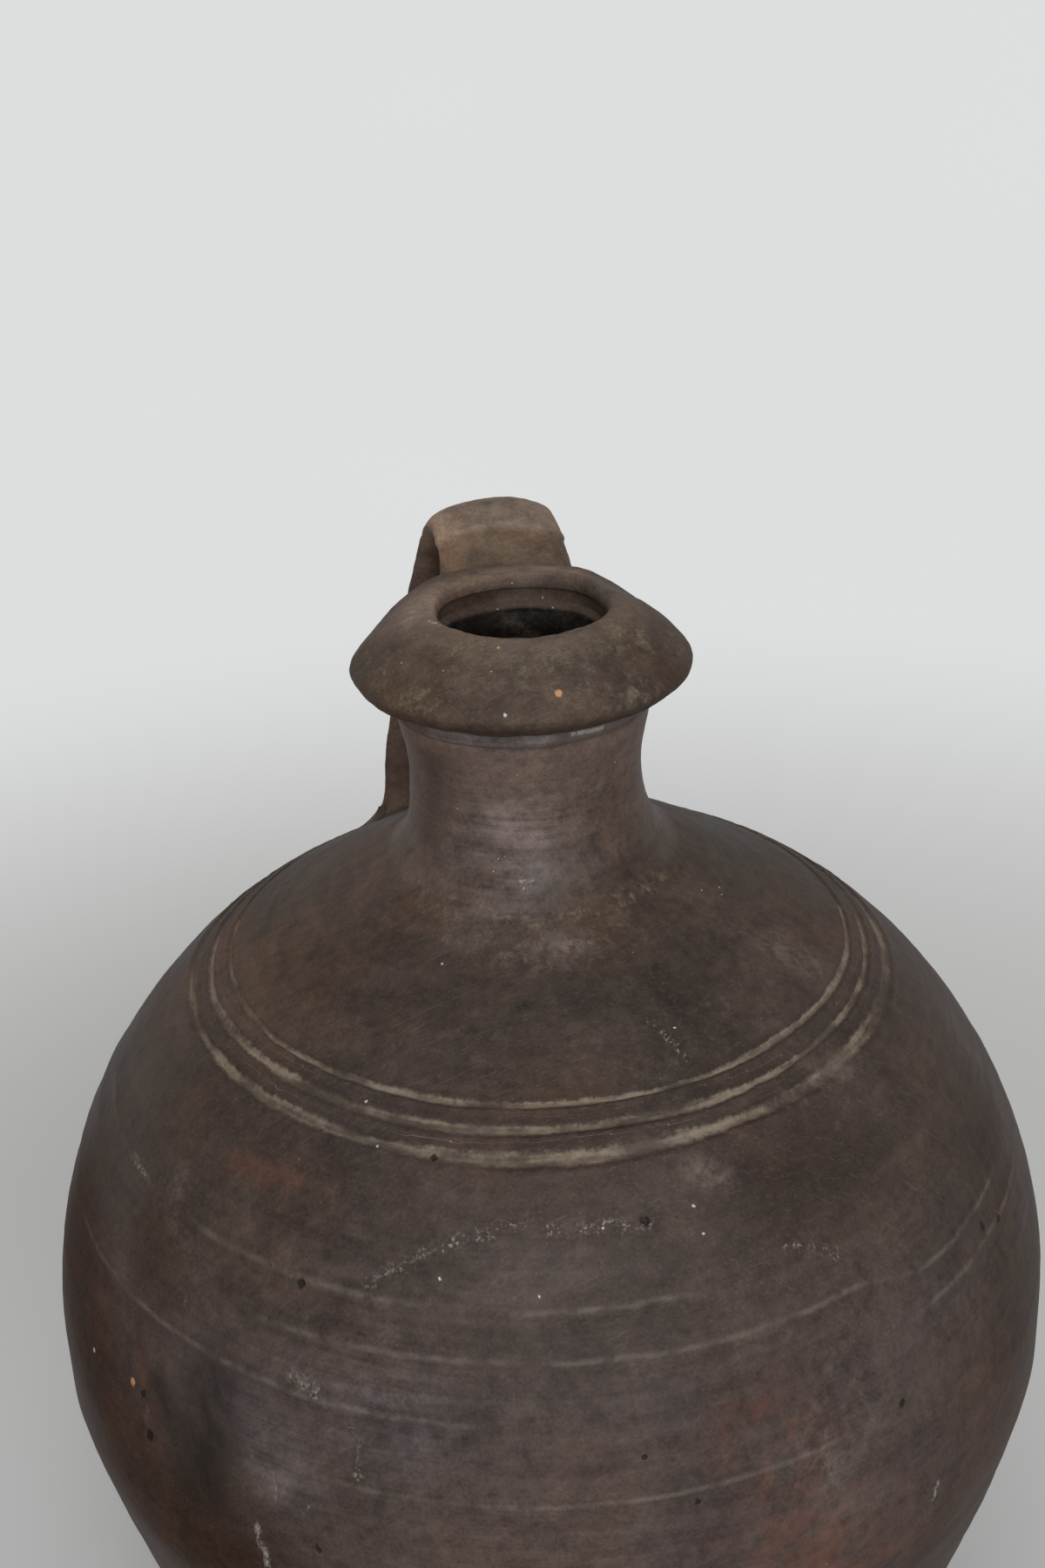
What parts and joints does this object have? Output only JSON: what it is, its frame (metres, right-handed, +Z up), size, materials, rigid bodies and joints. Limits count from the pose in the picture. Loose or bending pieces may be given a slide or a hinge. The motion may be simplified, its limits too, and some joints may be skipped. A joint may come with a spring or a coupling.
{
  "type": "oil jug",
  "caption": "Round-bellied thrown clay jug with a short flared neck, a heavy mushroom collar round a narrow mouth and a strap handle.",
  "frame": {"origin": "centre of the flat underside that the jug stands on", "axes": "+Z up along the jug's axis, +Y towards the handle, +X to the right when the handle is behind the mouth"},
  "size_m": [0.2916, 0.2916, 0.399],
  "materials": {
    "lower_body_clay": "matt unglazed smoked clay, warmer brown low down",
    "shoulder_clay": "matt unglazed smoked clay, pale dirt in the grooves",
    "neck_clay": "unglazed smoked clay, rubbed to a dull sheen",
    "collar_clay": "matt unglazed smoked clay with olive-beige dirt",
    "handle_clay": "matt unglazed smoked clay, rubbed by hands"
  },
  "bodies": {
    "root": {"lower_body": "lower_body_clay", "shoulder": "shoulder_clay", "neck": "neck_clay", "collar": "collar_clay", "handle": "handle_clay"}
  },
  "joints": []
}
